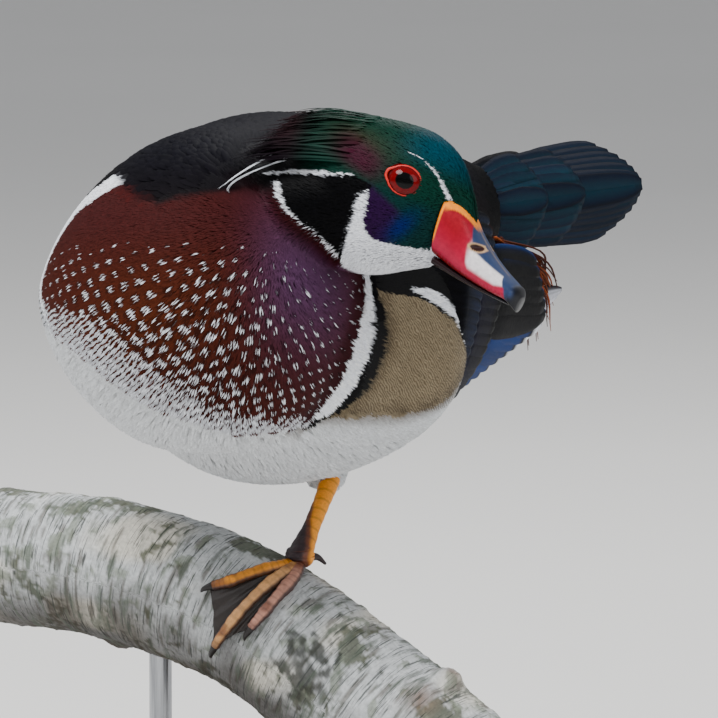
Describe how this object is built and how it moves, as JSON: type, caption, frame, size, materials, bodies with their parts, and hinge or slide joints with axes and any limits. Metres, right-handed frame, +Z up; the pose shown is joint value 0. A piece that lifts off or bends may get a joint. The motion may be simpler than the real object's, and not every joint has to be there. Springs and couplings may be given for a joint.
{
  "type": "wood duck drake on a display perch",
  "caption": "Life-size standing wood duck drake that looks down over its left shoulder, on one leg on a cut birch branch held above a flat base by two rods.",
  "frame": {"origin": "on the floor under the middle of the whole model", "axes": "+Z up, -Y the way the breast faces, +X the bird's left"},
  "size_m": [0.2344, 0.3464, 0.2984],
  "materials": {
    "body_plumage": "small overlapping body feathers, chestnut breast and white belly",
    "head_plumage": "fine glossy head feathers, dark green with white lines",
    "wing_plumage": "stiff glossy flight feathers, black and blue",
    "tail_plumage": "stiff glossy tail feathers, blue black",
    "eye": "wet clear eye with a red iris",
    "lid_skin": "bare red skin round the eye",
    "bill_horn": "smooth horn, red, white, yellow and black",
    "leg_skin": "scaly skin, orange yellow with dark webs",
    "birch_bark": "rough white birch bark with lichen",
    "stand_wood": "dark stained wood",
    "stand_steel": "brushed steel rod"
  },
  "bodies": {
    "root": {"torso": "body_plumage", "neck": "body_plumage", "thigh_left": "body_plumage", "head": "head_plumage", "crest": "head_plumage", "eye_left": "eye", "eye_right": "eye", "lid_left": "lid_skin", "lid_right": "lid_skin", "bill_upper": "bill_horn", "bill_lower": "bill_horn", "wing_left": "wing_plumage", "wing_right": "wing_plumage", "tail": "tail_plumage", "shin_left": "leg_skin", "foot_left": "leg_skin", "shin_right": "leg_skin", "foot_right": "leg_skin", "perch": "birch_bark", "stand_base": "stand_wood", "stand_rod_left": "stand_steel", "stand_rod_right": "stand_steel"}
  },
  "joints": []
}
